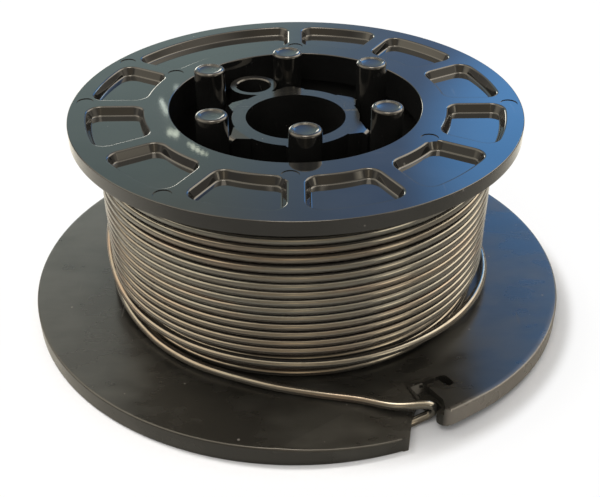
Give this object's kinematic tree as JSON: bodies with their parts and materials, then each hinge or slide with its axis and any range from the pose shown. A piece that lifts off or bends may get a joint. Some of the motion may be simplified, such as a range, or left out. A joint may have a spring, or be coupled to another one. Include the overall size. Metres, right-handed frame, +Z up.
{
  "type": "wire spool",
  "caption": "Moulded reel with a wide lower flange, a pocketed upper flange, a hub with drive pegs and a winding of steel wire hooked into the rim.",
  "frame": {"origin": "on the reel's axis, at the underside of the lower flange", "axes": "+Z up along the reel's axis towards the upper flange and the pegs' free ends; the notch in the lower rim lies towards +X and -Y"},
  "size_m": [0.1008, 0.1008, 0.0419],
  "materials": {
    "reel_plastic": "black moulded plastic, half gloss, with faint scuffs and dust",
    "annealed_wire": "bare annealed steel wire, brown-grey with a thin oxide and a dull drawn sheen"
  },
  "bodies": {
    "root": {"lower_flange": "reel_plastic", "upper_flange": "reel_plastic", "drum": "reel_plastic", "hub": "reel_plastic", "drive_peg_1": "reel_plastic", "drive_peg_2": "reel_plastic", "drive_peg_3": "reel_plastic", "drive_peg_4": "reel_plastic", "drive_peg_5": "reel_plastic", "drive_peg_6": "reel_plastic", "wire_inner_layers": "annealed_wire", "wire_outer_layer": "annealed_wire"}
  },
  "joints": []
}
